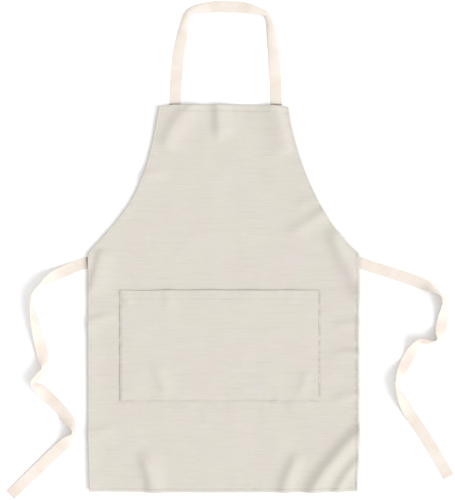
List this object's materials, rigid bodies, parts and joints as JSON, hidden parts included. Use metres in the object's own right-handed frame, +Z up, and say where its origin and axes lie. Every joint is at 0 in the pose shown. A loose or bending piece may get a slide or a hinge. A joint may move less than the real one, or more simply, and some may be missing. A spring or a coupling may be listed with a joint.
{
  "type": "bib apron",
  "caption": "Bib apron of natural cotton canvas laid flat, with a wide patch pocket, a tape neck loop and tape waist ties that fold over its front.",
  "frame": {"origin": "middle of the laid-out apron's footprint, on the surface that it lies on", "axes": "+X across the apron to the right of someone looking down on its front, +Y from the bottom hem to the neck loop, +Z up from the surface"},
  "size_m": [0.9894, 1.102, 0.025],
  "materials": {
    "canvas": "natural slubbed cotton canvas, matt",
    "tape": "cream cotton twill tape, matt",
    "thread": "spun sewing thread, soft sheen"
  },
  "bodies": {
    "apron": {"body_panel": "canvas", "top_hem": "canvas", "bottom_hem": "canvas", "left_side_hem": "canvas", "right_side_hem": "canvas", "left_armhole_hem": "canvas", "right_armhole_hem": "canvas", "pocket_panel": "canvas", "pocket_top_hem": "canvas", "pocket_left_turning": "canvas", "pocket_right_turning": "canvas", "pocket_bottom_turning": "canvas", "neck_strap_left_end": "tape", "neck_strap_right_end": "tape", "left_tie_end": "tape", "right_tie_end": "tape", "top_hem_thread": "thread", "bottom_hem_thread": "thread", "left_side_thread": "thread", "right_side_thread": "thread", "left_armhole_thread": "thread", "right_armhole_thread": "thread", "pocket_seam_thread": "thread", "pocket_hem_thread": "thread", "pocket_left_bar_tack": "thread", "pocket_right_bar_tack": "thread", "neck_strap_left_tack": "thread", "neck_strap_right_tack": "thread", "left_tie_tack": "thread", "right_tie_tack": "thread"},
    "neck_strap": {"neck_strap": "tape"},
    "left_tie": {"left_tie": "tape"},
    "right_tie": {"right_tie": "tape"}
  },
  "joints": [
    {"name": "neck_strap_fold", "type": "hinge", "parent": "apron", "child": "neck_strap", "pos_m": [-0.00967, 0.32021, 0.0037], "axis": [1, 0, 0], "range_deg": [0, 160]},
    {"name": "left_tie_fold", "type": "hinge", "parent": "apron", "child": "left_tie", "pos_m": [-0.31217, -0.02779, 0.0037], "axis": [0, 1, 0], "range_deg": [0, 135]},
    {"name": "right_tie_fold", "type": "hinge", "parent": "apron", "child": "right_tie", "pos_m": [0.28383, -0.02779, 0.0037], "axis": [0, -1, 0], "range_deg": [0, 135]}
  ]
}
